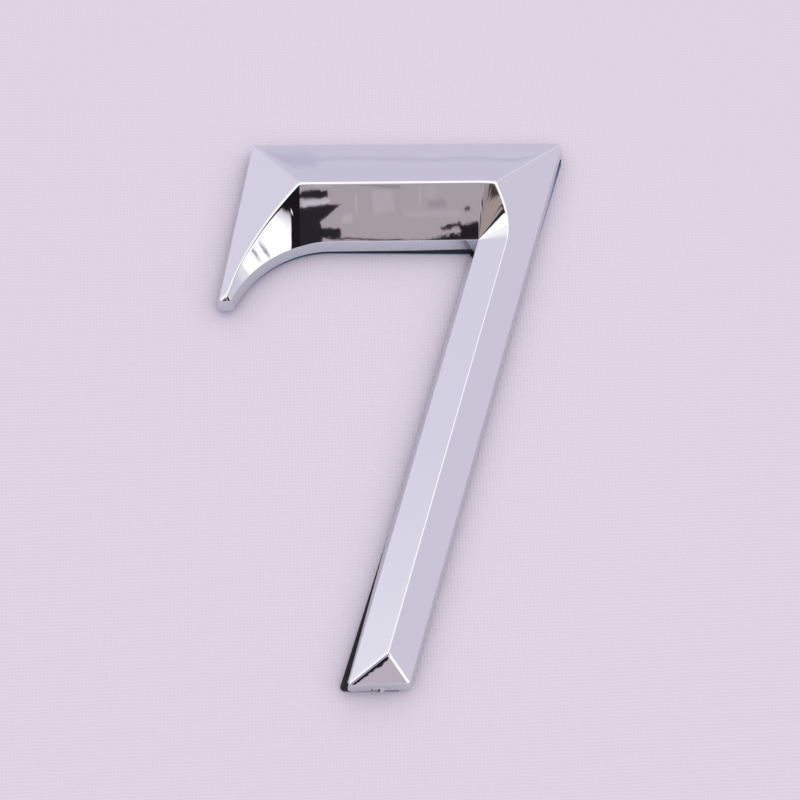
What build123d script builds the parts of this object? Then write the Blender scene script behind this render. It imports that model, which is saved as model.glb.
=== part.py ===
from build123d import *
import os
from math import cos, radians, sqrt, tan

# Stick-on house number 7: a plated moulding with bevelled facets, on a foam pad with its liner.
# The digit lies on its back: +Z out of its face, +Y up the digit, origin under its middle.
# Lengths are in millimetres, angles in degrees.

# Outline of the digit at the foot of its facets, seen from the front
height = 50.0  # top edge to foot
top_length = 28.9  # top edge, corner to corner
bar_depth = 9.6  # top edge to the bar's lower edge
left_lean = 12.3  # left edge, from upright
stem_lean = 18.1  # stem, from upright
stem_width = 5.0  # square across the stem
claw_drop = 15.25  # top edge to the cut end of the claw
claw_end = 1.05  # length of that cut end
claw_radius = 10.5  # hollow curve from the bar into the claw
corner_radius = 0.35  # outer corners

# Section of the moulding
skirt_height = 1.6  # side wall, from the back to the foot of the facets
skirt_draft = 12.0  # the wall leans inwards from the back at this angle, to leave its mould
facet_slope = 27.8  # every facet rises inwards from the skirt at this angle
ridge_radius = 0.2  # rounding of the ridges between facets

# Stub left where the moulding was broken off its runner, low on the end wall of the foot
gate_width = 1.2
gate_height = 0.7
gate_stub = 0.22  # how far it stands out from the wall's lower edge
gate_radius = 0.2  # its two outer corners

# Adhesive back, die-cut to the digit's outline and stuck on a little askew
foam_thickness = 0.75
liner_thickness = 0.1
pad_turn = 1.15  # clockwise, seen from the front
pad_pivot = (-16.4, 12.1)  # the point of the digit that the pad is turned about
liner_slip = (0.1, -0.03)  # how far the liner has crept on the foam

# How far the facet cutters run past the blank
clear = 1.0

# Two faces that meet within this angle run smoothly into each other
smooth_angle = 5.0

# Levels, from the underside of the liner up
back_level = liner_thickness + foam_thickness
facet_foot = back_level + skirt_height
skirt_spread = skirt_height * tan(radians(skirt_draft))
facet_reach = max(bar_depth, stem_width)
rise = tan(radians(facet_slope))

# Corners of the outline, worked out from the top right corner
claw_reach = claw_drop * tan(radians(left_lean))
lean_run = tan(radians(stem_lean))
stem_run = stem_width / cos(radians(stem_lean))
right = (top_length + claw_reach) / 2
top = height / 2
bar_low = top - bar_depth
claw_low = top - claw_drop

top_right = Vector(right, top)
top_left = Vector(right - top_length, top)
claw_left = Vector(-right, claw_low)
claw_right = Vector(claw_end - right, claw_low)
claw_height = claw_low - bar_low + claw_radius
claw_centre = claw_right + Vector(sqrt(claw_radius**2 - claw_height**2), -claw_height)
claw_start = claw_centre + Vector(0, claw_radius)
inner_corner = Vector(right - bar_depth * lean_run - stem_run, bar_low)
foot_right = Vector(right - height * lean_run, -top)
foot_left = foot_right - Vector(stem_run, 0)


def digit_outline():
    """The digit's face at the foot of its facets, with its outer corners rounded."""
    claw_middle = claw_centre + (claw_start + claw_right - claw_centre * 2).normalized() * claw_radius
    edges = [
        Line(top_right, top_left),
        Line(top_left, claw_left),
        Line(claw_left, claw_right),
        ThreePointArc(claw_right, claw_middle, claw_start),
        Line(claw_start, inner_corner),
        Line(inner_corner, foot_left),
        Line(foot_left, foot_right),
        Line(foot_right, top_right),
    ]
    face = make_face(edges)
    outer = (top_right, top_left, claw_left, claw_right, foot_left, foot_right)
    corners = [face.vertices().sort_by_distance(point)[0] for point in outer]
    return fillet(corners, corner_radius)


def facet_section(outside):
    """What a facet takes off the blank, in section: X inwards from the edge, Z up."""
    inside = facet_reach + clear
    low = facet_foot - outside * rise
    high = facet_foot + inside * rise
    return make_face(Polyline((-outside, 0, low), (inside, 0, high), (-outside, 0, high), close=True))


def straight_facet(start, end, before=clear, after=clear, outside=clear):
    """Cutter along an edge of the outline that has the digit on its left, run on past its ends."""
    along = (end - start).normalized()
    inwards = Vector(-along.Y, along.X)
    place = Plane(origin=start - along * before, x_dir=inwards, z_dir=(0, 0, 1))
    length = before + (end - start).length + after
    return extrude(place * facet_section(outside), amount=length, dir=along)


def round_facet(centre, radius, first_angle, sweep):
    """Cutter about an upright axis: a cone that opens upwards from a circle of that radius."""
    section = Pos(radius, 0, 0) * facet_section(min(radius, clear))
    placed = Pos(centre.X, centre.Y, 0) * Rot(0, 0, first_angle) * section
    return revolve(placed, Axis((centre.X, centre.Y, 0), (0, 0, 1)), sweep)


def facet_cutters():
    """One cutter for each facet in order round the outline, with cones at the claw and the inner corner."""
    return [
        straight_facet(top_right, top_left),
        straight_facet(top_left, claw_left),
        straight_facet(claw_left, claw_right),
        round_facet(claw_centre, claw_radius, 90, 90),
        straight_facet(claw_start, inner_corner, before=0, after=0, outside=0),
        round_facet(inner_corner, 0, -stem_lean, 90 + stem_lean),
        straight_facet(inner_corner, foot_left, before=0, outside=0),
        straight_facet(foot_left, foot_right),
        straight_facet(foot_right, top_right),
    ]


def is_ridge(edge, solid):
    """Whether two facets meet at this edge at an angle, rather than running smoothly into each other."""
    middle = edge.position_at(0.5)
    first, second = [face.normal_at(middle) for face in solid.faces() if edge in face.edges()]
    wall_tilt = 90 - smooth_angle
    both_facets = max(first.get_angle(Vector(0, 0, 1)), second.get_angle(Vector(0, 0, 1))) < wall_tilt
    return both_facets and first.get_angle(second) > smooth_angle


def digit_moulding():
    """The plated digit: a drafted skirt, hipped facets with rounded ridges, and the gate stub."""
    blank = extrude(digit_outline(), amount=skirt_height + facet_reach * rise)
    hipped = Pos(0, 0, back_level) * blank - facet_cutters()
    ridges = [edge for edge in hipped.edges() if is_ridge(edge, hipped)]
    skirt = extrude(offset(digit_outline(), skirt_spread), amount=skirt_height, taper=skirt_draft)
    return fillet(ridges, ridge_radius) + Pos(0, 0, back_level) * skirt + gate()


def gate():
    """Rounded stub on the end wall, level with the back."""
    middle = (foot_left + foot_right) / 2
    reach = skirt_spread + gate_stub
    stub = Box(gate_width, reach, gate_height, align=(Align.CENTER, Align.MAX, Align.MIN))
    outer_corners = stub.edges().filter_by(Axis.Z).group_by(Axis.Y)[0]
    return Pos(middle.X, middle.Y, back_level) * fillet(outer_corners, gate_radius)


def adhesive_layer(level, thickness, slip=(0, 0)):
    """A flat layer of the adhesive back: the digit's outline, turned askew and slipped sideways."""
    turned = Rot(0, 0, -pad_turn) * Pos(-pad_pivot[0], -pad_pivot[1]) * digit_outline()
    return extrude(Pos(pad_pivot[0] + slip[0], pad_pivot[1] + slip[1], level) * turned, amount=thickness)


def build():
    """Every piece of the house number, by the name of its node."""
    return {
        "digit_moulding": digit_moulding(),
        "foam_pad": adhesive_layer(liner_thickness, foam_thickness),
        "release_liner": adhesive_layer(0, liner_thickness, liner_slip),
    }


os.makedirs("parts", exist_ok=True)
for node, shape in build().items():
    export_step(shape, f"parts/{node}.step")
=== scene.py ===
"""Stick-on house number 7: a chrome-plated moulding on a foam adhesive pad with its release film."""

import logging
from abc import ABC, abstractmethod
from collections.abc import Callable
from dataclasses import dataclass, field
from enum import Enum, IntEnum

import bpy
import numpy as np
from mathutils import Matrix, Vector


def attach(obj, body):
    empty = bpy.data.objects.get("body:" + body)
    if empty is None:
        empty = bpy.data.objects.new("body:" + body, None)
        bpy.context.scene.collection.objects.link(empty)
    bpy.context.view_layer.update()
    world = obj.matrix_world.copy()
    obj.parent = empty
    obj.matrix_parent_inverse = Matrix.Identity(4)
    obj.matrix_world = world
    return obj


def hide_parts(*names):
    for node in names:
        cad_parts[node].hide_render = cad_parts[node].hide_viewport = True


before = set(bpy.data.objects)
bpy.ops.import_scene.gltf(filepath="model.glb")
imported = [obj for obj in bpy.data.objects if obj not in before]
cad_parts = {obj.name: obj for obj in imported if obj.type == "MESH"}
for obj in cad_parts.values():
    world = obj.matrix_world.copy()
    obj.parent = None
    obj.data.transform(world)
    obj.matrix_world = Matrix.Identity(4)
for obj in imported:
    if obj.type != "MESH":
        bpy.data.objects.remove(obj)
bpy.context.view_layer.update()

LOG = logging.getLogger("house_number")
IMAGE_PIXELS = 800

# Sizes in this file are in millimetres and angles in degrees; meshes and textures take metres
MM = 0.001

# Halvings that close in on a point of a ridge, and the length below which a line is only a point
HALVINGS = 50
NO_LENGTH = 1e-6

# Sockets of the colour Mix node, which share their names with its other data types
MIX_A, MIX_B, MIX_RESULT = 6, 7, 2

Tree = bpy.types.NodeTree
Socket = bpy.types.NodeSocket


class Facet(Enum):
    """The sloping faces of the digit, clockwise from the top left corner."""

    TOP = "top of the bar"
    RIGHT = "right side"
    FOOT = "end of the stem"
    STEM = "left side of the stem"
    CORNER = "cone at the inner corner"
    HOLLOW = "underside of the bar and claw"
    TIP = "cut end of the claw"
    LEFT = "left side"


def linear(colour: str) -> tuple[float, float, float, float]:
    """Turns an sRGB hex colour into linear RGBA.

    Args:
        colour: Six hex digits with a leading hash.

    Returns:
        Linear red, green, blue and an alpha of one.
    """
    channels = [int(colour[start:start + 2], 16) / 255 for start in (1, 3, 5)]
    red, green, blue = [c / 12.92 if c <= 0.04045 else ((c + 0.055) / 1.055) ** 2.4 for c in channels]
    return red, green, blue, 1.0


def add_node(tree: Tree, kind: str, inputs: dict | None = None, **settings: str) -> bpy.types.Node:
    """Adds a node to a tree, with its settings, values and links.

    Args:
        tree: The node tree that gets the node.
        kind: Blender's name for the type of node, without the word that all shader nodes start with.
        inputs: Values or output sockets, by the input's name or number.
        **settings: The node's own properties.

    Returns:
        The new node.
    """
    node = tree.nodes.new(f"ShaderNode{kind}")
    for name, value in settings.items():
        setattr(node, name, value)
    for key, value in (inputs or {}).items():
        if isinstance(value, Socket):
            tree.links.new(value, node.inputs[key])
        else:
            node.inputs[key].default_value = value
    return node


def soft_min(distances: np.ndarray, blend: float) -> np.ndarray:
    """Smallest of several distances, with its creases rounded.

    Args:
        distances: One row for each surface, one column for each point.
        blend: Distances that differ by a few times this run into each other.

    Returns:
        One distance for each point.
    """
    least = distances.min(axis=0)
    return least - blend * np.log(np.exp((least - distances) / blend).sum(axis=0))


def unit(vectors: np.ndarray) -> np.ndarray:
    """Vectors at length one; a vector of no length stays as it is."""
    length = np.linalg.norm(vectors, axis=-1, keepdims=True)
    return vectors / np.where(length > 0, length, 1.0)


def grid_normals(grid: np.ndarray) -> np.ndarray:
    """Normals of a grid of points whose rows go inwards and whose columns go clockwise.

    Args:
        grid: Points as rows by columns.

    Returns:
        One unit normal for each point.
    """
    return unit(np.cross(np.gradient(grid, axis=0), np.gradient(grid, axis=1)))


@dataclass
class DigitPlan:
    """The digit seen from the front, in millimetres, with the roof of facets that stands on it.

    Every facet rises inwards from the outline at one slope, the left one a little more gently, so the
    roof's height at a point follows from the point's distance to each edge.
    """

    height: float = 50.0
    top_length: float = 28.9
    bar_depth: float = 9.6
    left_lean: float = 12.3
    stem_lean: float = 18.1
    stem_width: float = 5.0
    claw_drop: float = 15.25
    claw_end: float = 1.05
    claw_radius: float = 10.5
    corner_radius: float = 0.35
    facet_slope: float = 27.8
    left_ease: float = 0.945  # share of the slope that the left facet rises at
    ridge_blend: float = 0.085  # rounds the ridges, to a radius of about 0.16
    edge_slack: float = 0.004  # a point this far outside the stem still counts as on it

    def __post_init__(self) -> None:
        """Works out the corners of the outline from the sizes."""
        lean, left_lean = np.radians(self.stem_lean), np.radians(self.left_lean)
        claw_reach = self.claw_drop * np.tan(left_lean)
        stem_run = self.stem_width / np.cos(lean)
        right = (self.top_length + claw_reach) / 2
        top = self.height / 2
        self.rise = np.tan(np.radians(self.facet_slope))
        self.bar_low = top - self.bar_depth
        self.claw_low = top - self.claw_drop
        self.top_right = np.array([right, top])
        self.top_left = np.array([right - self.top_length, top])
        self.claw_left = np.array([-right, self.claw_low])
        self.claw_right = np.array([self.claw_end - right, self.claw_low])
        claw_height = self.claw_low - self.bar_low + self.claw_radius
        claw_run = np.sqrt(self.claw_radius**2 - claw_height**2)
        self.claw_centre = self.claw_right + (claw_run, -claw_height)
        self.inner_corner = np.array([right - self.bar_depth * np.tan(lean) - stem_run, self.bar_low])
        self.foot_right = np.array([right - self.height * np.tan(lean), -top])
        self.foot_left = self.foot_right - (stem_run, 0)
        self.down_stem = np.array([-np.sin(lean), -np.cos(lean)])
        self.across_stem = np.array([np.cos(lean), -np.sin(lean)])
        self.in_from_left = np.array([np.cos(left_lean), -np.sin(left_lean)])
        self.crease_x = self.junction(
            self.top_left, (self.claw_left, self.top_right), self.bar_facet, self.left_ease,
        )[0]

    def bar_facet(self, points: np.ndarray) -> np.ndarray:
        """Distance above the bar's lower edge."""
        return points[..., 1] - self.bar_low

    def claw_facet(self, points: np.ndarray) -> np.ndarray:
        """Distance out from the claw's hollow curve, sunk at the crease to meet the bar's facet there.

        Args:
            points: Plan points, one row each.

        Returns:
            One distance for each point.
        """
        reach = np.linalg.norm(points - self.claw_centre, axis=-1)
        over = points[..., 1] - self.claw_centre[1]
        step = np.hypot(self.crease_x - self.claw_centre[0], over) - over
        share = (points[..., 0] - self.claw_right[0]) / (self.crease_x - self.claw_right[0])
        return reach - self.claw_radius - step * share

    def inner_edge(self, points: np.ndarray) -> np.ndarray:
        """Distance in from the concave side of the digit: claw, bar, inner corner and stem.

        Args:
            points: Plan points, one row each.

        Returns:
            One distance for each point.
        """
        bar = self.bar_facet(points)
        claw = np.where(points[:, 0] < self.claw_centre[0], self.claw_facet(points), -np.inf)
        hollow = np.maximum(bar, claw)
        from_corner = points - self.inner_corner
        along = from_corner @ self.down_stem
        across = from_corner @ self.across_stem
        in_corner = (from_corner[:, 0] > 0) & (along < 0)
        in_stem = (along >= 0) & (across > -self.edge_slack)
        return np.select([in_stem, in_corner], [across, np.linalg.norm(from_corner, axis=1)], hollow)

    def distances(self, points: np.ndarray) -> dict[Facet, np.ndarray]:
        """Distance of plan points from each edge that a facet rises from.

        Args:
            points: Plan points, one row each.

        Returns:
            Distances by facet; the concave side is one entry, under HOLLOW.
        """
        x, y = points.T
        on_claw = x < self.claw_centre[0]
        return {
            Facet.TOP: self.top_left[1] - y,
            Facet.LEFT: (points - self.top_left) @ self.in_from_left * self.left_ease,
            Facet.TIP: np.where(on_claw, y - self.claw_low, np.inf),
            Facet.HOLLOW: self.inner_edge(points),
            Facet.FOOT: y - self.foot_left[1],
            Facet.RIGHT: (self.top_right - points) @ self.across_stem,
        }

    def roof(self, points: np.ndarray) -> np.ndarray:
        """Height of the facets over plan points, above the foot of the facets, with rounded ridges."""
        table = np.stack(list(self.distances(points).values()))
        return soft_min(table, self.ridge_blend) * self.rise

    def roof_normals(self, points: np.ndarray, step: float = 0.002) -> np.ndarray:
        """Upward normals of the roof, from its slope across a small step.

        Args:
            points: Plan points, one row each.
            step: Half the distance that the slope is taken over.

        Returns:
            One unit normal for each point.
        """
        slopes = [
            (self.roof(points + offset) - self.roof(points - offset)) / (2 * step)
            for offset in (np.array([step, 0.0]), np.array([0.0, step]))
        ]
        return unit(np.stack([-slopes[0], -slopes[1], np.ones(len(points))], axis=1))

    def climb(self, feet: np.ndarray, inwards: np.ndarray, own: Facet) -> np.ndarray:
        """Follows a facet up from its foot to the ridge, where the next facet is as near.

        Args:
            feet: Plan points on the facet's edge.
            inwards: The direction up the facet.
            own: The facet that is climbed.

        Returns:
            The plan points on the ridge.
        """
        low = np.zeros(len(feet))
        high = np.full(len(feet), self.bar_depth)
        for _ in range(HALVINGS):
            middle = (low + high) / 2
            table = self.distances(feet + middle[:, None] * inwards)
            mine = table.pop(own)
            short = mine < np.stack(list(table.values())).min(axis=0)
            low = np.where(short, middle, low)
            high = np.where(short, high, middle)
        return feet + low[:, None] * inwards

    def junction(
        self,
        corner: np.ndarray,
        ends: tuple[np.ndarray, np.ndarray],
        third: Callable[[np.ndarray], np.ndarray],
        ease: float = 1.0,
    ) -> np.ndarray:
        """Follows the hip in from a corner to the point where a third facet is as near as its two.

        Args:
            corner: The corner of the outline.
            ends: The far ends of the two edges that meet there.
            third: Gives a point's distance from the third facet's edge.
            ease: The share of the usual slope at which the first of the two facets rises.

        Returns:
            The plan point where the three facets meet.
        """
        first, second = unit(ends[0] - corner), unit(ends[1] - corner)
        from_first = unit(second - (second @ first) * first) * ease
        from_second = unit(first - (first @ second) * second)
        hip = unit(first * (from_first @ second) + second * (from_second @ first))
        gain = from_second @ hip
        low, high = 0.0, self.bar_depth
        for _ in range(HALVINGS):
            middle = (low + high) / 2
            if middle * gain < float(np.ravel(third((corner + middle * hip)[None]))[0]):
                low = middle
            else:
                high = middle
        return corner + low * hip


@dataclass
class FacetStrip:
    """One facet as a row of straight lines that run from its foot up to the ridge.

    Below each foot the wall spreads along its skirt direction, which is the outward one except by the
    inner corner, where two walls meet in a mitre. The facet's slope is taken a little aside from a line
    that lies on a sharp crease.
    """

    facet: Facet
    feet: np.ndarray
    ridge: np.ndarray
    inwards: np.ndarray
    outwards: np.ndarray
    skirt: np.ndarray
    aside: np.ndarray | float = 0.0

    @property
    def lengths(self) -> np.ndarray:
        """Plan length of each line."""
        return np.linalg.norm(self.ridge - self.feet, axis=1)

    def parted(self, line: int, aside: float) -> list["FacetStrip"]:
        """Parts the strip at a crease.

        Args:
            line: The line that lies on the crease.
            aside: How far to its right and left the slopes of the two sides are taken.

        Returns:
            The strip before the line and the one after it.
        """
        sides = []
        for part, place, offset in ((slice(0, line + 1), -1, aside), (slice(line, None), 0, -aside)):
            nudge = np.zeros_like(self.feet[part])
            nudge[place, 0] = offset
            lines = (self.feet, self.ridge, self.inwards, self.outwards, self.skirt)
            sides.append(FacetStrip(self.facet, *(values[part] for values in lines), nudge))
        return sides


@dataclass
class FacetLayout:
    """Divides the digit's roof into strips whose lines meet point to point along the ridges."""

    plan: DigitPlan
    first_gap: float = 0.04  # between the lines nearest to the end of an edge
    foot_gap: float = 0.005  # the same at the end of the stem
    fewest_lines: int = 5
    corner_lines: int = 6
    mitre_reach: float = 2.0
    crease_aside: float = 0.01

    def __post_init__(self) -> None:
        """Sets out the straight edges, clockwise, and the ridges between the facets."""
        plan = self.plan
        self.edges = {
            Facet.TOP: (plan.top_left, plan.top_right),
            Facet.RIGHT: (plan.top_right, plan.foot_right),
            Facet.FOOT: (plan.foot_right, plan.foot_left),
            Facet.STEM: (plan.foot_left, plan.inner_corner),
            Facet.TIP: (plan.claw_right, plan.claw_left),
            Facet.LEFT: (plan.claw_left, plan.top_left),
        }
        spoke = unit(plan.claw_right - plan.claw_centre)
        self.up_claw = np.array([spoke[1], -spoke[0]])
        self.ridges = self.set_out_ridges()

    def frame_of(self, facet: Facet) -> tuple[np.ndarray, np.ndarray, np.ndarray, float]:
        """Says where a straight edge begins and how it runs.

        Args:
            facet: The facet that rises from the edge.

        Returns:
            Its start, its direction, the direction inwards and its length.
        """
        start, end = self.edges[facet]
        along = unit(end - start)
        return start, along, np.array([along[1], -along[0]]), float(np.linalg.norm(end - start))

    def neighbour(self, facet: Facet, at_end: bool) -> Facet | None:
        """Finds the straight facet round the corner at one end of an edge.

        Args:
            facet: The facet that rises from the edge.
            at_end: Whether the corner is the edge's last one, going clockwise.

        Returns:
            The facet that meets it there, or None where the concave side follows.
        """
        if (facet, at_end) in ((Facet.STEM, True), (Facet.TIP, False)):
            return None
        order = list(self.edges)
        return order[(order.index(facet) + (1 if at_end else -1)) % len(order)]

    def corner_angle(self, facet: Facet, at_end: bool) -> float | None:
        """Angle of the digit at one end of a straight edge.

        Args:
            facet: The facet that rises from the edge.
            at_end: Whether the corner is the edge's last one, going clockwise.

        Returns:
            The angle in radians, or None at the concave inner corner.
        """
        along = self.frame_of(facet)[1]
        if (facet, at_end) == (Facet.TIP, False):
            return float(np.arccos(along @ self.up_claw))
        neighbour = self.neighbour(facet, at_end)
        if neighbour is None:
            return None
        return float(np.pi - np.arccos(along @ self.frame_of(neighbour)[1]))

    def rounded(self, angle: float | None) -> tuple[float, float]:
        """How far from a corner its rounding begins, and where the hip meets it.

        Args:
            angle: The corner's angle in radians, or None for a sharp corner.

        Returns:
            Both distances, measured along an edge from the corner.
        """
        if angle is None:
            return 0.0, 0.0
        radius = self.plan.corner_radius
        return radius / np.tan(angle / 2), (radius / np.sin(angle / 2) - radius) * np.cos(angle / 2)

    def stations(
        self, first: float, last: float, angle: float | None = None, gap: float | None = None,
    ) -> np.ndarray:
        """Places along an edge, closest together at both ends and round a corner at the first of them.

        Args:
            first: Where the places begin; the corner's rounding replaces it.
            last: Where they end.
            angle: The angle of the corner at the beginning, if there is one.
            gap: The gap at the ends, if it isn't the usual one.

        Returns:
            Distances along the edge.
        """
        tangent, hip = self.rounded(angle)
        begin = first + tangent if last > first else first - tangent
        count = int(np.ceil(np.pi / 2 * np.sqrt(abs(last - begin) / (gap or self.first_gap)))) + 1
        shares = (1 - np.cos(np.linspace(0, np.pi, max(count, self.fewest_lines)))) / 2
        straight = begin + (last - begin) * shares
        if angle is None:
            return straight
        start = first + hip if last > first else first - hip
        return np.concatenate([np.linspace(start, begin, self.corner_lines), straight[1:]])

    def climb_from(self, facet: Facet, stations: np.ndarray) -> np.ndarray:
        """Ridge points above places along a straight edge."""
        start, along, inwards, _ = self.frame_of(facet)
        return self.plan.climb(start + stations[:, None] * along, inwards, facet)

    def station_of(self, facet: Facet, points: np.ndarray) -> np.ndarray:
        """Places along a straight edge that lie square to the given points."""
        start, along, _, _ = self.frame_of(facet)
        return (points - start) @ along

    def set_out_ridges(self) -> dict[str, np.ndarray]:
        """Finds the points where three facets meet, and the ridges between them.

        Returns:
            Ridge lines by name, as plan points in order.
        """
        plan = self.plan
        bar_left = plan.junction(
            plan.top_left, (plan.claw_left, plan.top_right), plan.inner_edge, plan.left_ease,
        )
        bar_right = plan.junction(plan.top_right, (plan.top_left, plan.foot_right), plan.inner_edge)
        claw_tip = plan.junction(
            plan.claw_left, (plan.top_left, plan.claw_right), plan.inner_edge, plan.left_ease,
        )
        stem_top = plan.inner_corner + plan.across_stem * plan.stem_width / 2
        stem_foot = plan.junction(plan.foot_right, (plan.foot_left, plan.top_right), plan.inner_edge)
        corner = self.corner_angle
        top = {name: float(self.station_of(Facet.TOP, point)) for name, point in
               (("left", bar_left), ("corner", plan.inner_corner), ("right", bar_right))}
        top_end = self.frame_of(Facet.TOP)[3]
        foot_end = self.frame_of(Facet.FOOT)[3]
        tip_end = self.frame_of(Facet.TIP)[3]
        foot_middle = float(self.station_of(Facet.FOOT, stem_foot))
        tip_middle = float(self.station_of(Facet.TIP, claw_tip))
        right = [float(self.station_of(Facet.RIGHT, point)) for point in (bar_right, stem_top, stem_foot)]
        left = [float(self.station_of(Facet.LEFT, point)) for point in (bar_left, claw_tip)]
        lines = {
            "hip_top_left": (Facet.TOP, self.stations(0, top["left"], corner(Facet.TOP, False))),
            "bar": (Facet.TOP, self.stations(top["left"], top["corner"])),
            "bar_end": (Facet.TOP, self.stations(top["corner"], top["right"])),
            "hip_top_right": (Facet.TOP, self.stations(top_end, top["right"], corner(Facet.TOP, True))[::-1]),
            "shoulder": (Facet.RIGHT, self.stations(right[0], right[1])),
            "stem": (Facet.RIGHT, self.stations(right[1], right[2])),
            "hip_foot_right": (
                Facet.FOOT,
                self.stations(0, foot_middle, corner(Facet.FOOT, False), self.foot_gap)[::-1],
            ),
            "hip_foot_left": (
                Facet.FOOT,
                self.stations(foot_end, foot_middle, corner(Facet.FOOT, True), self.foot_gap)[::-1],
            ),
            "claw": (Facet.LEFT, self.stations(left[0], left[1])),
            "hip_tip_right": (Facet.TIP, self.stations(0, tip_middle, corner(Facet.TIP, False))[::-1]),
            "hip_tip_left": (Facet.TIP, self.stations(tip_end, tip_middle, corner(Facet.TIP, True))[::-1]),
        }
        return {name: self.climb_from(facet, places) for name, (facet, places) in lines.items()}

    def mitre(self, from_corner: np.ndarray) -> np.ndarray:
        """How far walls are drawn back from the inner corner, at distances from it along either edge."""
        half = (np.pi / 2 + np.radians(self.plan.stem_lean)) / 2
        return np.clip(1 - from_corner / self.mitre_reach, 0, None) * np.tan(half)

    def straight_strip(self, facet: Facet, ridge: np.ndarray) -> FacetStrip:
        """Drops lines square from ridge points to a straight edge, cut short where its corners are rounded.

        Args:
            facet: The facet that rises from the edge.
            ridge: Ridge points, clockwise.

        Returns:
            The facet's strip.
        """
        start, along, inwards, length = self.frame_of(facet)
        radius = self.plan.corner_radius
        places = self.station_of(facet, ridge)
        lean = np.zeros(len(places))
        for at_end in (False, True):
            tangent, _ = self.rounded(self.corner_angle(facet, at_end))
            from_corner = length - places if at_end else places
            lean += np.clip((tangent - from_corner) / radius, 0, 1) * (1 if at_end else -1)
        upright = np.sqrt(1 - lean**2)
        feet = start + places[:, None] * along + (radius * (1 - upright))[:, None] * inwards
        feet[0] = ridge[0]
        if facet is not Facet.STEM:
            feet[-1] = ridge[-1]
        outwards = lean[:, None] * along - upright[:, None] * inwards
        for at_end in (False, True):
            neighbour = self.neighbour(facet, at_end)
            if neighbour:
                outwards[-1 if at_end else 0] = -unit(inwards + self.frame_of(neighbour)[2])
        skirt = outwards
        if facet is Facet.STEM:
            skirt = outwards - self.mitre(length - places)[:, None] * along
        return FacetStrip(facet, feet, ridge, np.broadcast_to(inwards, feet.shape), outwards, skirt)

    def hollow_strip(self, bar: np.ndarray, claw: np.ndarray, hip: np.ndarray) -> list[FacetStrip]:
        """Drops lines from the ridges of the bar and claw to the lower edge and its hollow curve.

        Args:
            bar: Ridge points over the bar, from the inner corner to the crease.
            claw: Ridge points along the claw, from the crease to its tip.
            hip: Points of the hip down to the claw's inner corner.

        Returns:
            The strips of the underside, before and after the crease.
        """
        plan = self.plan
        centre, radius = plan.claw_centre, plan.claw_radius
        x = bar[:, 0]
        curve = centre[1] + np.sqrt(radius**2 - np.clip(centre[0] - x, 0, None) ** 2)
        bar_feet = np.stack([x, curve], axis=1)
        bar_angles = np.arccos(np.clip((np.minimum(x, centre[0]) - centre[0]) / radius, -1, 1))

        end_angle = float(np.arctan2(*(plan.claw_right - centre)[::-1]))
        hip_runs = (hip - plan.claw_right) @ self.up_claw
        hip_angles = end_angle - hip_runs / radius
        seen = np.arctan2(*(claw - centre).T[::-1])
        shares = (seen - seen[0]) / (seen[-1] - seen[0])
        claw_angles = seen + (bar_angles[-1] - seen[0]) * (1 - shares) + (hip_angles[0] - seen[-1]) * shares

        angles = np.concatenate([claw_angles[1:], hip_angles[1:]])
        spokes = np.stack([np.cos(angles), np.sin(angles)], axis=1)
        runs = (end_angle - angles) * radius
        tangent, _ = self.rounded(self.corner_angle(Facet.TIP, False))
        lean = np.clip((tangent - runs) / plan.corner_radius, 0, 1)
        upright = np.sqrt(1 - lean**2)
        inset = plan.corner_radius * (1 - upright)
        claw_feet = centre + (radius + inset)[:, None] * spokes
        down_claw = np.stack([-spokes[:, 1], spokes[:, 0]], axis=1)
        bar_out = np.stack([-np.cos(bar_angles), -np.sin(bar_angles)], axis=1)
        claw_out = lean[:, None] * down_claw - upright[:, None] * spokes

        ridge = np.concatenate([bar, claw[1:], hip[1:]])
        feet = np.concatenate([bar_feet, claw_feet])
        feet[-1] = ridge[-1]
        outwards = np.concatenate([bar_out, claw_out])
        outwards[-1] = self.straight_strip(Facet.TIP, hip[::-1]).outwards[0]
        from_corner = np.linalg.norm(feet - plan.inner_corner, axis=1)
        skirt = outwards - self.mitre(from_corner)[:, None] * np.array([1.0, 0.0])
        lines = ridge - feet
        short = np.linalg.norm(lines, axis=1, keepdims=True) < NO_LENGTH
        inwards = unit(np.where(short, -outwards, lines))
        strip = FacetStrip(Facet.HOLLOW, feet, ridge, inwards, outwards, skirt)
        return strip.parted(len(bar) - 1, self.crease_aside)

    def corner_strip(self, ridge: np.ndarray) -> FacetStrip:
        """Draws lines from the inner corner out to ridge points, as the ribs of a fan.

        Args:
            ridge: Ridge points, clockwise.

        Returns:
            The strip of the cone.
        """
        feet = np.broadcast_to(self.plan.inner_corner, ridge.shape)
        inwards = unit(ridge - feet)
        return FacetStrip(Facet.CORNER, feet, ridge, inwards, -inwards, -inwards)

    def strips(self) -> list[FacetStrip]:
        """Divides the whole roof.

        Returns:
            Every facet's strip, clockwise from the top left corner.
        """
        line = self.ridges

        def chain(*names: str) -> np.ndarray:
            """Joins ridge lines end to end; a minus sign before a name turns its line round."""
            parts = [line[name[1:]][::-1] if name.startswith("-") else line[name] for name in names]
            return np.concatenate([parts[0]] + [part[1:] for part in parts[1:]])

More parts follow.
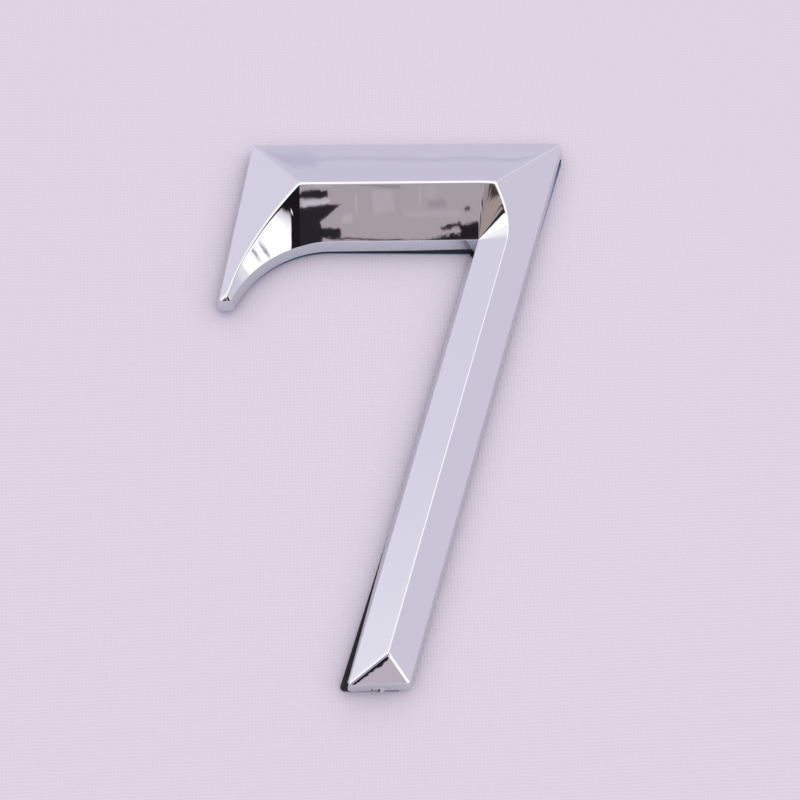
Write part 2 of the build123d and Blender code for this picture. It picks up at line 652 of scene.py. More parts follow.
        return [
            self.straight_strip(Facet.TOP, chain("hip_top_left", "bar", "bar_end", "hip_top_right")),
            self.straight_strip(Facet.RIGHT, chain("-hip_top_right", "shoulder", "stem", "hip_foot_right")),
            self.straight_strip(Facet.FOOT, chain("-hip_foot_right", "hip_foot_left")),
            self.straight_strip(Facet.STEM, chain("-hip_foot_left", "-stem")),
            self.corner_strip(chain("-shoulder", "-bar_end")),
            *self.hollow_strip(chain("-bar"), line["claw"], line["hip_tip_right"]),
            self.straight_strip(Facet.TIP, chain("-hip_tip_right", "hip_tip_left")),
            self.straight_strip(Facet.LEFT, chain("-hip_tip_left", "-claw", "-hip_top_left")),
        ]


@dataclass
class MeshDraft:
    """Collects faces, joins points that coincide, and keeps a normal for each corner of a face."""

    points: list[tuple[float, float, float]] = field(default_factory=list)
    faces: list[list[int]] = field(default_factory=list)
    normals: list[np.ndarray] = field(default_factory=list)
    known: dict[tuple[float, ...], int] = field(default_factory=dict)
    decimals: int = 5  # points that agree to so many are one

    def index(self, point: np.ndarray) -> int:
        """Finds the number of a point, which is added if none lies there yet.

        Args:
            point: Its three coordinates.

        Returns:
            Its place in the list of points.
        """
        key = tuple(np.round(point, self.decimals) + 0.0)
        if key not in self.known:
            self.known[key] = len(self.points)
            self.points.append(key)
        return self.known[key]

    def face(self, corners: list[np.ndarray], normals: list[np.ndarray]) -> None:
        """Adds a face, unless fewer than three of its corners differ.

        Args:
            corners: The corners in order, anticlockwise from outside.
            normals: The surface normal at each corner.
        """
        numbers = [self.index(corner) for corner in corners]
        kept = [place for place, number in enumerate(numbers) if number != numbers[place - 1]]
        if len(kept) > 2:
            self.faces.append([numbers[place] for place in kept])
            self.normals.extend(normals[place] for place in kept)

    def sheet(self, points: np.ndarray, normals: np.ndarray) -> None:
        """Adds the quads of a grid of points.

        Args:
            points: Points in rows that go inwards and columns that go clockwise.
            normals: The surface normal at each point.
        """
        rows, columns = points.shape[:2]
        for row in range(rows - 1):
            for column in range(columns - 1):
                places = [(row, column), (row + 1, column), (row + 1, column + 1), (row, column + 1)]
                self.face([points[place] for place in places], [normals[place] for place in places])

    def to_object(self, name: str) -> bpy.types.Object:
        """Makes the mesh object, in metres, shaded by the normals that were given.

        Args:
            name: The name of the object and of its mesh.

        Returns:
            The new object.
        """
        mesh = bpy.data.meshes.new(name)
        mesh.from_pydata([tuple(MM * value for value in point) for point in self.points], [], self.faces)
        mesh.shade_smooth()
        mesh.normals_split_custom_set([tuple(unit(normal)) for normal in self.normals])
        mesh.validate()
        piece = bpy.data.objects.new(name, mesh)
        bpy.context.scene.collection.objects.link(piece)
        return piece


@dataclass(frozen=True)
class Finish(ABC):
    """What every material starts from: its name and plain values, over which a finish lays its pattern."""

    name: str
    colour: str
    roughness: float
    metallic: float = 0.0
    specular: float = 0.5

    @abstractmethod
    def pattern(self, tree: Tree, place: Socket) -> dict[str, Socket]:
        """Adds the nodes of the finish's own pattern.

        Args:
            tree: The material's node tree.
            place: Coordinates in metres that are fixed to the object.

        Returns:
            Outputs of the nodes, by the shader input that each drives.
        """

    def material(self) -> bpy.types.Material:
        """Makes the material.

        Returns:
            The material with its plain values, and its pattern linked over them.
        """
        material = bpy.data.materials.new(self.name)
        material.use_nodes = True
        tree = material.node_tree
        shader = tree.nodes["Principled BSDF"]
        plain = {
            "Base Color": linear(self.colour),
            "Metallic": self.metallic,
            "Roughness": self.roughness,
            "Specular IOR Level": self.specular,
        }
        for name, value in plain.items():
            shader.inputs[name].default_value = value
        place = add_node(tree, "TexCoord").outputs["Object"]
        for name, output in self.pattern(tree, place).items():
            tree.links.new(output, shader.inputs[name])
        return material


@dataclass(frozen=True)
class ChromePlate(Finish):
    """Decorative chrome plate on moulded ABS.

    Plating follows the moulded face and levels its fine grain, so the eye gets a cool mirror that is
    only wavy over a few millimetres, where the plastic sank a little as it set. The side walls get a
    dimmer, bluer copy of the plate: painted shade, standing for the darker floor by the contact that they
    mirror.
    """

    name: str = "Chrome plate on moulded ABS"
    colour: str = "#E6E6EA"
    roughness: float = 0.012
    metallic: float = 1.0
    wave_width: float = 4.0
    wave_height: float = 0.0016
    orange_peel_width: float = 0.7
    orange_peel_height: float = 0.00012

    def pattern(self, tree: Tree, place: Socket) -> dict[str, Socket]:
        """Adds a long sink wave and a finer orange peel as bump.

        Args:
            tree: The material's node tree.
            place: Coordinates in metres that are fixed to the object.

        Returns:
            Outputs of the nodes, by the shader input that each drives.
        """
        normal = None
        for width, height in (
            (self.wave_width, self.wave_height),
            (self.orange_peel_width, self.orange_peel_height),
        ):
            scale = 1 / (width * MM)
            wave = add_node(tree, "TexNoise", {"Vector": place, "Scale": scale, "Detail": 1.0})
            inputs = {"Height": wave.outputs["Fac"], "Distance": height * MM, "Strength": 1.0}
            if normal:
                inputs["Normal"] = normal
            normal = add_node(tree, "Bump", inputs).outputs["Normal"]
        return {"Normal": normal}


@dataclass(frozen=True)
class BarePlastic(Finish):
    """Bare ABS where the gate was broken off after plating: dull, dark and torn in short ridges."""

    name: str = "Bare ABS at the broken gate"
    colour: str = "#4A484F"
    roughness: float = 0.6
    tear_width: float = 0.15
    tear_height: float = 0.05

    def pattern(self, tree: Tree, place: Socket) -> dict[str, Socket]:
        """Adds the torn ridges as bump.

        Args:
            tree: The material's node tree.
            place: Coordinates in metres that are fixed to the object.

        Returns:
            Outputs of the nodes, by the shader input that each drives.
        """
        scale = 1 / (self.tear_width * MM)
        tears = add_node(tree, "TexNoise", {"Vector": place, "Scale": scale, "Detail": 2.0})
        bump = add_node(
            tree, "Bump",
            {"Height": tears.outputs["Fac"], "Distance": self.tear_height * MM, "Strength": 1.0},
        )
        return {"Normal": bump.outputs["Normal"]}


class Area(IntEnum):
    """Areas of the moulding that differ in finish, numbered as its material slots."""

    FACETS = 0
    WALLS = 1
    SCAR = 2


@dataclass
class DigitMoulding:
    """The plated digit: a drafted skirt, facets with rounded ridges, and the stub of its moulding gate."""

    plan: DigitPlan
    finish: ChromePlate
    # The side walls' plate is a dimmer copy of the chrome: painted shade for the contact shade that they
    # mirror
    shaded_wall_finish: ChromePlate
    scar_finish: BarePlastic
    back_level: float = 0.85
    skirt_height: float = 1.6
    skirt_draft: float = 12.0
    foot_radius: float = 0.1
    foot_run: float = 0.6  # on a line shorter than this the foot's radius is smaller
    gate_width: float = 1.2
    gate_height: float = 0.7
    gate_stub: float = 0.22
    gate_tear: float = 0.75  # share of the stub that is torn away at its left
    wall_rows: int = 16
    foot_rows: int = 4
    facet_rows: int = 4
    ridge_rows: int = 7
    ridge_reach: float = 0.4  # how far from the ridge the close rows begin
    least_facet: float = 0.3  # share of a short line that lies before them

    # Places on the gate: from -1 at its left to 1 at its right, and from 0 at the back to 1 at its top
    torn_until: float = 0.6
    scar_span: tuple[float, float] = (-0.95, 0.25)
    scar_low: float = 0.1
    scar_high: float = 0.55
    # Height, frequency and phase of the waves in the scar's upper edge
    scar_waves: tuple[tuple[float, float, float], ...] = ((0.25, 4.0, 0.5), (0.15, 13.0, 0.0))

    @property
    def facet_foot(self) -> float:
        """Level of the foot of the facets."""
        return self.back_level + self.skirt_height

    @property
    def spread(self) -> float:
        """How far the wall has spread outwards at the back."""
        return self.skirt_height * float(np.tan(np.radians(self.skirt_draft)))

    def foot_arc(self) -> list[tuple[float, float, float]]:
        """Rounding between wall and facet, for a radius of one.

        Returns:
            The turn of the normal, the distance inwards from the sharp foot and the drop below the facet.
        """
        draft, slope = np.radians(self.skirt_draft), np.radians(self.plan.facet_slope)
        wall = np.array([-np.cos(draft), np.sin(draft)])
        facet = np.array([-np.sin(slope), np.cos(slope)])
        centre = -(wall + facet) / (1 + wall @ facet)
        turns = np.linspace(np.pi - draft, np.pi / 2 + slope, self.foot_rows + 1)
        insets = np.clip(centre[0] + np.cos(turns), 0, None)
        drops = insets * self.plan.rise - centre[1] - np.sin(turns)
        return list(zip(turns, insets, drops))

    def on_gate(self, points: np.ndarray) -> tuple[np.ndarray, np.ndarray]:
        """Places points on the gate.

        Args:
            points: Points of the digit, one row each.

        Returns:
            How far each lies aside of the gate's middle and up from the back, as shares of its size.
        """
        middle = (self.plan.foot_left[0] + self.plan.foot_right[0]) / 2
        aside = (points[:, 0] - middle) / (self.gate_width / 2)
        return aside, (points[:, 2] - self.back_level) / self.gate_height

    def gate_bulge(self, points: np.ndarray) -> np.ndarray:
        """How far the broken gate makes points of the end wall stand out, as a torn lump.

        Args:
            points: Points of the wall, one row each.

        Returns:
            One distance for each point.
        """
        aside, up = self.on_gate(points)
        lump = np.clip(1 - aside**4, 0, None) * np.clip(1 - up**2, 0, None)
        torn = 1 - self.gate_tear * np.clip(self.torn_until - aside, 0, 1)
        return self.gate_stub * lump * torn

    def on_scar(self, points: np.ndarray) -> np.ndarray:
        """Which points lie on the left part of the gate's end, where the plating broke away.

        Args:
            points: Points of the digit, one row each.

        Returns:
            One truth value for each point.
        """
        aside, up = self.on_gate(points)
        first, last = self.scar_span
        edge = self.scar_high + sum(
            height * np.sin(frequency * aside + phase) for height, frequency, phase in self.scar_waves
        )
        ahead = points[:, 1] < self.plan.foot_left[1]
        return ahead & (aside > first) & (aside < last) & (up > self.scar_low) & (up < edge)

    def strip_sheet(self, strip: FacetStrip) -> tuple[np.ndarray, np.ndarray]:
        """Lays rows of points along a strip: the wall, the rounded foot, the facet and the rounded ridge.

        Args:
            strip: The facet's lines from foot to ridge.

        Returns:
            Points and normals, as grids of rows by lines.
        """
        plan = self.plan
        lengths = strip.lengths
        count = len(lengths)
        radius = self.foot_radius * np.clip(lengths / self.foot_run, 0, 1)
        rows, normals = [], []

        arc = self.foot_arc()
        facet_start = strip.feet + (radius * arc[-1][1])[:, None] * strip.inwards
        uphill = plan.roof_normals(facet_start + strip.aside)
        last_turns = np.pi / 2 + np.arccos(uphill[:, 2])
        for turn, inset, drop in arc:
            points = strip.feet + (radius * inset)[:, None] * strip.inwards
            share = (arc[0][0] - turn) / (arc[0][0] - arc[-1][0])
            sideways = unit(strip.outwards * (1 - share) + unit(uphill[:, :2]) * share)
            turns = arc[0][0] * (1 - share) + last_turns * share
            rows.append(np.column_stack([points, self.facet_foot + plan.roof(points) - radius * drop]))
            normals.append(np.column_stack([-np.cos(turns)[:, None] * sideways, np.sin(turns)]))

        bottom = np.column_stack([strip.feet + self.spread * strip.skirt, np.full(count, self.back_level)])
        wall = [bottom + (rows[0] - bottom) * part for part in np.linspace(0, 1, self.wall_rows + 1)[:-1]]
        if strip.facet is Facet.FOOT:
            for row in wall:
                row[:, 1] -= self.gate_bulge(row)
        rows = wall + rows
        normals = [normals[0]] * len(wall) + normals

        whole = np.clip(lengths, NO_LENGTH, None)
        begin = np.clip(radius * arc[-1][1] / whole, 0, 1)
        crest = np.clip(1 - self.ridge_reach / whole, begin + self.least_facet * (1 - begin), 1)
        shares = [begin + (crest - begin) * part for part in np.linspace(0, 1, self.facet_rows + 1)[1:]]
        closing = 1 - (1 - np.linspace(0, 1, self.ridge_rows + 1)[1:]) ** 2
        shares += [crest + (1 - crest) * part for part in closing]
        for share in shares:
            points = strip.feet + share[:, None] * (strip.ridge - strip.feet)
            rows.append(np.column_stack([points, self.facet_foot + plan.roof(points)]))
            normals.append(plan.roof_normals(points + strip.aside))
        return np.array(rows), np.array(normals)

    def build(self, layout: FacetLayout) -> bpy.types.Object:
        """Builds the digit's mesh from its strips and closes its back.

        Args:
            layout: The strips that the roof is divided into.

        Returns:
            The dressed digit.
        """
        draft = MeshDraft()
        back: list[np.ndarray] = []
        for strip in layout.strips():
            points, normals = self.strip_sheet(strip)
            if strip.facet is Facet.CORNER:
                points, normals = points[self.wall_rows:], normals[self.wall_rows:]
            else:
                back.extend(points[0])
            if strip.facet is Facet.FOOT:
                normals[:self.wall_rows] = grid_normals(points)[:self.wall_rows]
            draft.sheet(points, normals)
        draft.face(back, [np.array([0.0, 0.0, -1.0])] * len(back))
        digit = draft.to_object("digit_shell")
        for finish in (self.finish, self.shaded_wall_finish, self.scar_finish):
            digit.data.materials.append(finish.material())
        centres = np.array([tuple(face.center) for face in digit.data.polygons]) / MM
        on_wall = centres[:, 2] < self.facet_foot - self.foot_radius
        areas = np.select([self.on_scar(centres), on_wall], [Area.SCAR, Area.WALLS], Area.FACETS)
        digit.data.polygons.foreach_set("material_index", areas.astype(np.int32))
        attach(digit, "root")
        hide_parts("digit_moulding")
        return digit


@dataclass(frozen=True)
class ClosedCellFoam(Finish):
    """Black polyethylene foam tape, die-cut: matt, with the cut cells showing as fine pits in its edge.

    Real cells are about half as wide, too fine to show, so they are drawn coarser.
    """

    name: str = "Die-cut closed-cell foam"
    colour: str = "#121116"
    roughness: float = 0.85
    # The cells' rims are painted paler than their pits: painted shade in the pits
    lit_rim_colour: str = "#232229"
    cell_width: float = 0.22
    cell_depth: float = 0.05

    def pattern(self, tree: Tree, place: Socket) -> dict[str, Socket]:
        """Adds the cells as bump, with painted shade that darkens each pit towards its middle and leaves the
        rims paler.

        Args:
            tree: The material's node tree.
            place: Coordinates in metres that are fixed to the object.

        Returns:
            Outputs of the nodes, by the shader input that each drives.
        """
        scale = 1 / (self.cell_width * MM)
        cells = add_node(tree, "TexVoronoi", {"Vector": place, "Scale": scale}).outputs["Distance"]
        # Painted shade: each cell's pit is darker than its rim
        colour = add_node(
            tree, "Mix", {0: cells, MIX_A: linear(self.colour), MIX_B: linear(self.lit_rim_colour)},
            data_type="RGBA",
        )
        pits = add_node(
            tree, "Bump", {"Height": cells, "Distance": self.cell_depth * MM, "Strength": 1.0},
        )
        return {"Base Color": colour.outputs[MIX_RESULT], "Normal": pits.outputs["Normal"]}


@dataclass
class FoamPad:
    """The adhesive pad, die-cut to the digit's outline and stuck on askew, with a waisted, uneven edge."""

    plan: DigitPlan
    finish: ClosedCellFoam
    low_level: float = 0.1
    thickness: float = 0.75
    turn: float = 1.15
    pivot: tuple[float, float] = (-16.4, 12.1)
    edge_rows: int = 6
    shrink: float = 0.03
    waist: float = 0.035
    ripple: float = 0.012
    ripple_width: float = 1.7
    ripple_slant: float = 5.0  # radians by which the ripple shifts from the pad's back to its face

    def outline(self, layout: FacetLayout) -> tuple[np.ndarray, np.ndarray]:
        """The digit's outline, turned to where the pad lies.

        Args:
            layout: The strips whose feet make the outline.

        Returns:
            Points in clockwise order and their outward directions.
        """
        angle = np.radians(-self.turn)
        turned = np.array([[np.cos(angle), np.sin(angle)], [-np.sin(angle), np.cos(angle)]])
        strips = [strip for strip in layout.strips() if strip.facet is not Facet.CORNER]
        points = np.concatenate([strip.feet[:-1] for strip in strips])
        outwards = np.concatenate([strip.outwards[:-1] for strip in strips])
        return (points - self.pivot) @ turned + self.pivot, outwards @ turned

    def build(self, layout: FacetLayout) -> bpy.types.Object:
        """Builds the pad's waisted edge and closes it above and below.

        Args:
            layout: The strips whose feet make the outline.

        Returns:
            The dressed pad.
        """
        points, outwards = self.outline(layout)
        points, outwards = np.vstack([points, points[:1]]), np.vstack([outwards, outwards[:1]])
        run = np.concatenate([[0.0], np.cumsum(np.linalg.norm(np.diff(points, axis=0), axis=1))])
        waves = 2 * np.pi * np.round(run[-1] / self.ripple_width) / run[-1]
        rows = []
        for share in np.linspace(0, 1, self.edge_rows + 1):
            pinch = self.shrink + self.waist * np.sin(np.pi * share)
            uneven = self.ripple * np.sin(waves * run + self.ripple_slant * share) * np.sin(np.pi * share)
            edge = points - (pinch + uneven)[:, None] * outwards
            rows.append(np.column_stack([edge, np.full(len(run), self.low_level + share * self.thickness)]))
        grid = np.array(rows)
        draft = MeshDraft()
        draft.sheet(grid, grid_normals(grid))
        draft.face(list(grid[-1][:0:-1]), [np.array([0.0, 0.0, 1.0])] * (len(run) - 1))
        draft.face(list(grid[0][:-1]), [np.array([0.0, 0.0, -1.0])] * (len(run) - 1))
        pad = draft.to_object("foam_tape")
        pad.data.materials.append(self.finish.material())
        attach(pad, "root")
        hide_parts("foam_pad")
        return pad


@dataclass(frozen=True)
class SiliconedFilm(Finish):
    """Blue polyethylene release film: glossy, a little milky, with the long waves of film off a roll."""

    name: str = "Siliconed polyethylene film"
    colour: str = "#5F7FAE"
    roughness: float = 0.28
    milky_colour: str = "#8DA3C6"
    mottle_width: float = 6.0
    wave_width: float = 3.0
    wave_height: float = 0.012

    def pattern(self, tree: Tree, place: Socket) -> dict[str, Socket]:
        """Adds milky patches to the colour and roll waves as bump.

        Args:
            tree: The material's node tree.
            place: Coordinates in metres that are fixed to the object.

        Returns:
            Outputs of the nodes, by the shader input that each drives.
        """
        patches, waves = (
            add_node(
                tree, "TexNoise", {"Vector": place, "Scale": 1 / (width * MM), "Detail": detail},
            ).outputs["Fac"]
            for width, detail in ((self.mottle_width, 4.0), (self.wave_width, 2.0))
        )
        colour = add_node(
            tree, "Mix", {0: patches, MIX_A: linear(self.colour), MIX_B: linear(self.milky_colour)},
            data_type="RGBA",
        )
        bump = add_node(
            tree, "Bump", {"Height": waves, "Distance": self.wave_height * MM, "Strength": 1.0},
        )
        return {"Base Color": colour.outputs[MIX_RESULT], "Normal": bump.outputs["Normal"]}


@dataclass
class ReleaseLiner:
    """The film under the pad, which keeps its construction solid and gets its finish here."""

    finish: SiliconedFilm

    def dress(self) -> bpy.types.Object:
        """Gives the film its material.

        Returns:
            The dressed film.
        """
        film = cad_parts["release_liner"]
        film.data.materials.clear()
        film.data.materials.append(self.finish.material())
        return film


@dataclass(frozen=True)
class WovenCloth(Finish):
    """Plain-woven cotton sheet under the digit: pale lilac and matt, its threads just fine enough to blur."""

    name: str = "Plain-woven cotton"
    colour: str = "#DFD5E5"
    roughness: float = 0.9
    specular: float = 0.1
    thread_spacing: float = 0.3
    thread_height: float = 0.02
    thread_waver: float = 3.0

    def pattern(self, tree: Tree, place: Socket) -> dict[str, Socket]:
        """Adds crossing threads as bump.

        Args:
            tree: The material's node tree.
            place: Coordinates in metres that are fixed to the object.

        Returns:
            Outputs of the nodes, by the shader input that each drives.
        """
        # Bands of the wave texture are 2 pi / 20 units apart where its scale is one
        scale = 2 * np.pi / 20 / (self.thread_spacing * MM)
        inputs = {"Vector": place, "Scale": scale, "Distortion": self.thread_waver, "Detail": 2.0}
        threads = [
            add_node(tree, "TexWave", inputs, bands_direction=direction).outputs["Fac"]
            for direction in "XY"
        ]
        weave = add_node(tree, "Math", {0: threads[0], 1: threads[1]}, operation="MULTIPLY")
        bump = add_node(
            tree, "Bump",
            {"Height": weave.outputs[0], "Distance": self.thread_height * MM, "Strength": 1.0},
        )
        return {"Normal": bump.outputs["Normal"]}


@dataclass
class Studio:
    """Floor and camera. The camera stands where the fitted view puts it."""

    floor_size: float = 3000.0
    camera_place: tuple[float, float, float] = (-11.84, -44.7, 155.25)
    camera_right: tuple[float, float, float] = (0.9971, -0.038, 0.0655)
    camera_down: tuple[float, float, float] = (-0.0179, -0.9589, -0.2832)
    camera_ahead: tuple[float, float, float] = (0.0736, 0.2812, -0.9568)
    focal_pixels: float = 1790.0
    sensor_width: float = 36.0
    nearest_seen: float = 5.0

    def add_floor(self, finish: WovenCloth) -> None:
        """Lays the cloth that the digit rests on.

        Args:
            finish: The cloth's material.
        """
        half = self.floor_size / 2 * MM
        corners = [(-half, -half, 0), (half, -half, 0), (half, half, 0), (-half, half, 0)]
        mesh = bpy.data.meshes.new("cloth")
        mesh.from_pydata(corners, [], [(0, 1, 2, 3)])
        mesh.materials.append(finish.material())
        floor = bpy.data.objects.new("cloth", mesh)
        bpy.context.scene.collection.objects.link(floor)

    def add_camera(self) -> None:
        """Puts the camera at the photograph's place, angle and focal length."""
        camera = bpy.data.cameras.new("camera")
        camera.sensor_width = self.sensor_width
        camera.lens = self.focal_pixels / IMAGE_PIXELS * self.sensor_width
        camera.clip_start = self.nearest_seen * MM
        holder = bpy.data.objects.new("camera", camera)
        axes = (self.camera_right, self.camera_down, self.camera_ahead)
        right, down, ahead = (Vector(axis) for axis in axes)
        turn = Matrix((right, -down, -ahead)).transposed().to_4x4()
        holder.matrix_world = Matrix.Translation(Vector(self.camera_place) * MM) @ turn
        bpy.context.scene.collection.objects.link(holder)
        bpy.context.scene.camera = holder


class Grain(Enum):
    """How fine the unevenness of a frayed outline is, in degrees."""

    COARSE = 1.0
    MIDDLE = 0.3
    FINE = 0.12


@dataclass(frozen=True)
class Card:
    """A panel of the studio that the plating mirrors, placed by angles as seen from the digit.

    All sizes are in degrees. Azimuth is measured from the front of the digit, positive to its right;
    a leaning panel moves in azimuth with each degree that it rises, and a tilted one rises with each
    degree to the right. The edge is where the panel fades out, and the fray makes its outline uneven.
    """

    azimuth: float
    elevation: float
    width: float
    height: float
    colour: str
    edge: float = 1.0
    fray: float = 0.0
    grain: Grain = Grain.COARSE
    lean: float = 0.0
    tilt: float = 0.0
    strength: float = 1.0


@dataclass
class Surround:
    """What stands round the digit: soft light for the cloth, and panels and flags for the plating."""

    light: str = "#FFFFFF"
    light_strength: float = 1.46
    light_from: tuple[float, float, float] = (0.1, 0.2, 0.975)
    light_full: float = 0.95  # cosine of the angle from there within which the light is full
    backdrop: str = "#DDD4E3"
    low: str = "#DBD6E8"
    high: str = "#E4E2EE"
    paling: tuple[float, float] = (10.0, 40.0)  # elevations between which low turns into high
    cards: dict[str, Card] = field(default_factory=lambda: {
        "left wall": Card(-118, 30, 84, 50, "#E8E5F4", edge=18),
        "right wall": Card(95, 25, 110, 50, "#DFDAE9", edge=20),
        "front wall": Card(-20, 48, 140, 24, "#B7ACB1", edge=1.5),
        "front wall below": Card(0, 38, 60, 16, "#CBBFCB", edge=2),
        "blue blind": Card(-6, 49.5, 30, 10, "#AEB2CA", edge=0.4, fray=0.6),
        # A darker patch of the surround: painted shade on the end of the front wall
        "end of the front wall": Card(-6, 57.5, 10, 8, "#A3989E", edge=1.5),
        "tan wall": Card(-36, 55.5, 56, 13, "#AF9F9B", edge=0.6, fray=1.0),
        "left window glow": Card(-93, 45, 54, 24, "#FFFFFF", edge=12, strength=1.15),
        "left window": Card(-82.5, 48, 28, 22, "#FFFFFF", edge=0.5, fray=0.6, strength=1.3),
        "left window frame": Card(-64, 55.5, 10, 13, "#39322F", edge=0.5, fray=1.6),
        "brown cupboard": Card(-21, 60.6, 25, 4.6, "#4B3B38", edge=0.3, fray=2.0),
        "dark cupboard": Card(-54, 59.6, 9, 7, "#3C3634", edge=0.4, fray=3.0),
        "cupboard edge": Card(0.2, 59.2, 1.0, 4, "#8C8085", edge=0.35, fray=0.6),
        "second cupboard edge": Card(-8, 58, 1.6, 8, "#A08F86", edge=0.4, fray=0.8),
        "right window glow": Card(45, 46, 58, 14, "#F6F5FB", edge=4),
        "right window": Card(43, 46.3, 51, 12, "#FFFFFF", edge=0.8, fray=0.8, strength=1.3),
        "first smear on the glass": Card(
            58.9, 47.0, 2.2, 0.9, "#B4B1BB", edge=0.5, fray=1.6, grain=Grain.MIDDLE,
        ),
        "second smear on the glass": Card(
            53.0, 48.1, 2.4, 0.8, "#A9A6B0", edge=0.5, fray=1.8, grain=Grain.MIDDLE,
        ),
        "leaning flag": Card(27.45, 51.65, 14, 6.3, "#1E1B20", edge=0.2, fray=0.6, lean=-2.115),
        "right flag above": Card(46.8, 57.55, 65, 9.2, "#1E1B20", edge=0.3, fray=0.5),
        "stem flag": Card(0.1, 43.0, 12, 3.2, "#211D20", edge=0.1, fray=1.2, grain=Grain.FINE, lean=2.3),
        "tip flag": Card(-2.2, 54, 4, 3, "#463C3A", edge=0.5, fray=1.0),
        "flag": Card(1.0, 56.23, 4.5, 1.5, "#2B292E", edge=0.04, fray=0.2, grain=Grain.MIDDLE),
        "low slat": Card(1.6, 56.12, 5.4, 0.32, "#2B292E", edge=0.04, fray=0.5, grain=Grain.MIDDLE),
        "long slat": Card(
            1.02, 56.74, 5.8, 0.46, "#2B292E", edge=0.04, fray=0.2, grain=Grain.MIDDLE, lean=2.5,
        ),
        "top slat": Card(1.3, 57.35, 4.8, 0.26, "#2B292E", edge=0.04, fray=0.22, grain=Grain.MIDDLE),
        "low flag": Card(11.9, 55.55, 1.7, 0.66, "#262126", edge=0.06, fray=0.25, grain=Grain.FINE),
        "streak of the low flag": Card(
            10.6, 55.86, 1.2, 0.14, "#262126", edge=0.06, fray=0.35, grain=Grain.FINE,
        ),
        "lower streak": Card(10.4, 55.44, 2.6, 0.28, "#262126", edge=0.05, fray=0.35, grain=Grain.FINE),
        "lamp": Card(30.8, 53.25, 0.6, 0.22, "#FFFFFF", edge=0.12, strength=1.3),
        "knob": Card(11.7, 56.33, 0.3, 0.12, "#3A3238", edge=0.06, fray=0.1, grain=Grain.FINE),
        "pale post": Card(5.35, 56.95, 0.12, 0.75, "#C3B9BC", edge=0.06, lean=0.14),
        "second pale post": Card(9.1, 57.0, 0.14, 0.6, "#C2B8BA", edge=0.08, lean=0.25),
        "pale panel": Card(6.9, 56.95, 1.2, 0.75, "#C1B6BC", edge=0.1),
        "pale board": Card(9.7, 57.05, 0.6, 0.45, "#BDB2B8", edge=0.12),
        "pale rail": Card(9.65, 56.36, 3.3, 0.2, "#BFB4BA", edge=0.1, fray=0.2, tilt=-0.09),
        "dark rail": Card(6.75, 57.55, 2.5, 0.16, "#A1939A", edge=0.06, fray=0.1, tilt=-0.12),
        "worn patch": Card(10.0, 56.62, 1.1, 0.18, "#A79BA3", edge=0.12, fray=0.3, grain=Grain.MIDDLE),
        "pale corner": Card(4.75, 56.5, 0.6, 0.22, "#C3BABB", edge=0.1, fray=0.2, grain=Grain.MIDDLE),
        "gap above the long slat": Card(
            3.0, 57.07, 1.7, 0.16, "#D2CCD3", edge=0.06, fray=0.2, grain=Grain.MIDDLE,
        ),
        "gap above the top slat": Card(
            3.3, 57.7, 1.5, 0.14, "#C9C0C6", edge=0.06, fray=0.2, grain=Grain.MIDDLE,
        ),
        "sill": Card(
            7.7, 55.64, 8.6, 0.06, "#353035", edge=0.03, fray=0.05, grain=Grain.MIDDLE, tilt=-0.073,
        ),
        "shelf on the back wall": Card(174, 10.3, 13, 0.1, "#CFCADD", edge=0.07, fray=0.12),
        "end of the shelf": Card(179.6, 10.33, 2.6, 0.42, "#CDC8DB", edge=0.2, fray=0.2),
        "back window": Card(143, 34, 24, 16, "#F4F3FB", edge=4),
        "ceiling": Card(0, 90, 720, 58, "#FFFFFF", edge=2.5, strength=1.3),
    })

    def build(self) -> None:
        """Makes the world: panels for mirror rays, soft light for diffuse ones, a backdrop for the camera."""
        world = bpy.data.worlds.new("studio")
        world.use_nodes = True
        tree = world.node_tree
        bpy.context.scene.world = world
        toward = add_node(tree, "TexCoord").outputs["Generated"]
        path = add_node(tree, "LightPath").outputs
        plain = add_node(
            tree, "Mix",
            {0: path["Is Camera Ray"], MIX_A: self.soft_light(tree, toward), MIX_B: linear(self.backdrop)},
            data_type="RGBA",
        )
        lights = [
            add_node(tree, "Background", {"Color": colour}).outputs[0]
            for colour in (plain.outputs[MIX_RESULT], self.mirrored(tree, toward))
        ]
        chosen = add_node(tree, "MixShader", {0: path["Is Glossy Ray"], 1: lights[0], 2: lights[1]})
        tree.links.new(chosen.outputs[0], tree.nodes["World Output"].inputs["Surface"])
        tree.nodes.remove(tree.nodes["Background"])

    def soft_light(self, tree: Tree, toward: Socket) -> Socket:
        """Adds soft light from overhead, which fades to none at right angles to its middle.

        Args:
            tree: The world's node tree.
            toward: The direction of the ray.

        Returns:
            The colour of the light.
        """
        facing = add_node(tree, "VectorMath", {0: toward, 1: self.light_from}, operation="DOT_PRODUCT")
        strength = add_node(
            tree, "MapRange",
            {"Value": facing.outputs["Value"], "From Max": self.light_full, "To Max": self.light_strength},
        )
        soft = add_node(
            tree, "VectorMath", {0: linear(self.light)[:3], "Scale": strength.outputs[0]},
            operation="SCALE",
        )
        return soft.outputs[0]

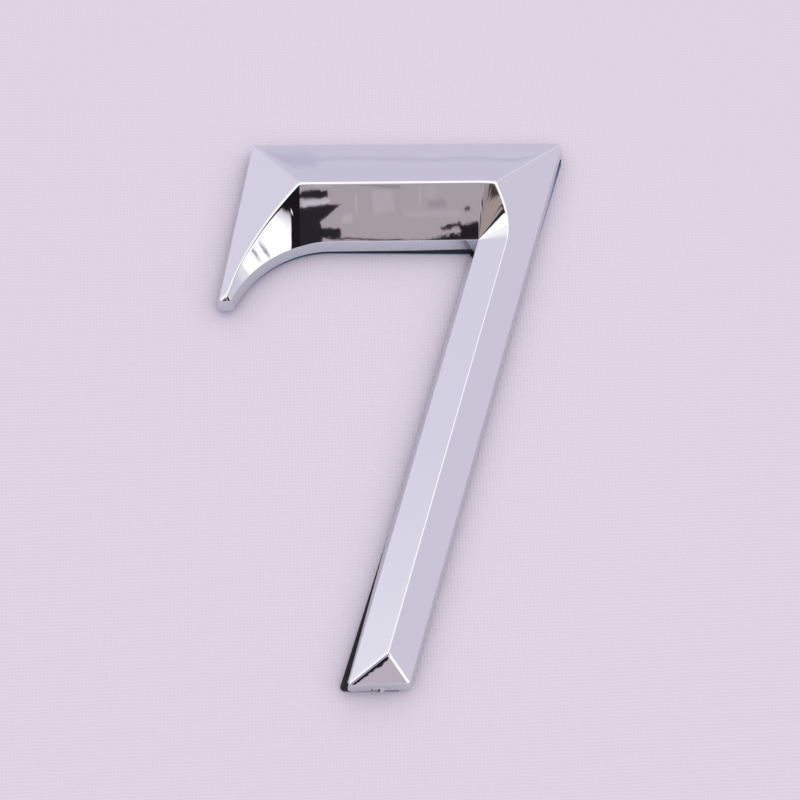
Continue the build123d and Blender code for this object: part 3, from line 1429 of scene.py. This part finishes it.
    def mirrored(self, tree: Tree, toward: Socket) -> Socket:
        """Adds what the plating mirrors: a surround that pales upwards, and the panels one over another.

        Args:
            tree: The world's node tree.
            toward: The direction of the ray.

        Returns:
            The colour that a mirror ray meets.
        """
        part = add_node(tree, "SeparateXYZ", {"Vector": toward}).outputs
        front = add_node(tree, "Math", {0: part["Y"], 1: -1.0}, operation="MULTIPLY").outputs[0]
        turn = add_node(tree, "Math", {0: part["X"], 1: front}, operation="ARCTAN2").outputs[0]
        climb = add_node(tree, "Math", {0: part["Z"]}, operation="ARCSINE").outputs[0]
        angles = [
            add_node(tree, "Math", {0: angle}, operation="DEGREES").outputs[0]
            for angle in (turn, climb)
        ]
        paler = add_node(
            tree, "MapRange",
            {"Value": angles[1], "From Min": self.paling[0], "From Max": self.paling[1]},
            interpolation_type="SMOOTHSTEP",
        )
        seen = add_node(
            tree, "Mix", {0: paler.outputs[0], MIX_A: linear(self.low), MIX_B: linear(self.high)},
            data_type="RGBA",
        ).outputs[MIX_RESULT]
        frays = {}
        for grain in Grain:
            scale = 1 / np.radians(grain.value)
            noise = add_node(tree, "TexNoise", {"Vector": toward, "Scale": scale, "Detail": 3.0})
            uneven = add_node(
                tree, "VectorMath", {0: noise.outputs["Color"], 1: (0.5, 0.5, 0.5)},
                operation="SUBTRACT",
            )
            parts = add_node(tree, "SeparateXYZ", {"Vector": uneven.outputs[0]}).outputs
            frays[grain] = (parts["X"], parts["Y"])
        for card in self.cards.values():
            seen = self.lay_card(tree, card, seen, angles, frays[card.grain])
        return seen

    def lay_card(
        self, tree: Tree, card: Card, under: Socket, angles: list[Socket], uneven: tuple[Socket, Socket],
    ) -> Socket:
        """Lays one panel over what is there already.

        Args:
            tree: The world's node tree.
            card: The panel.
            under: The colour so far.
            angles: Azimuth and elevation of the ray, in degrees.
            uneven: Two noises that fray the panel's outline.

        Returns:
            The colour with the panel on it.
        """
        shifts = [
            add_node(tree, "Math", {0: angle, 1: middle}, operation="SUBTRACT").outputs[0]
            for angle, middle in zip(angles, (card.azimuth, card.elevation))
        ]
        for place, slant in enumerate((card.lean, card.tilt)):
            if slant:
                shifts[place] = add_node(
                    tree, "Math", {0: shifts[1 - place], 1: -slant, 2: shifts[place]},
                    operation="MULTIPLY_ADD",
                ).outputs[0]
        if card.fray:
            shifts = [
                add_node(
                    tree, "Math", {0: noise, 1: card.fray, 2: shift}, operation="MULTIPLY_ADD",
                ).outputs[0]
                for noise, shift in zip(uneven, shifts)
            ]
        masks = []
        for shift, size in zip(shifts, (card.width, card.height)):
            away = add_node(tree, "Math", {0: shift}, operation="ABSOLUTE").outputs[0]
            mask = add_node(
                tree, "MapRange",
                {"Value": away, "From Min": size / 2 + card.edge, "From Max": size / 2 - card.edge},
                interpolation_type="SMOOTHSTEP",
            )
            masks.append(mask.outputs[0])
        cover = add_node(tree, "Math", {0: masks[0], 1: masks[1]}, operation="MULTIPLY").outputs[0]
        colour = tuple(value * card.strength for value in linear(card.colour)[:3]) + (1.0,)
        laid = add_node(tree, "Mix", {0: cover, MIX_A: under, MIX_B: colour}, data_type="RGBA")
        return laid.outputs[MIX_RESULT]


def main() -> None:
    """Builds the pieces and the studio in order."""
    logging.basicConfig(level=logging.INFO)
    bpy.context.scene.view_settings.view_transform = "Standard"
    plan = DigitPlan()
    layout = FacetLayout(plan)
    # A dimmer, bluer copy of the plate for the side walls, as painted shade
    shaded_wall_plate = ChromePlate("Chrome plate on the side walls, dimmed as painted shade", "#D2D9DC")
    pieces = [
        DigitMoulding(plan, ChromePlate(), shaded_wall_plate, BarePlastic()).build(layout),
        FoamPad(plan, ClosedCellFoam()).build(layout),
        ReleaseLiner(SiliconedFilm()).dress(),
    ]
    for piece in pieces:
        LOG.info("%s: %d faces", piece.name, len(piece.data.polygons))
    studio = Studio()
    studio.add_floor(WovenCloth())
    Surround().build()
    studio.add_camera()


if __name__ == "__main__":
    main()
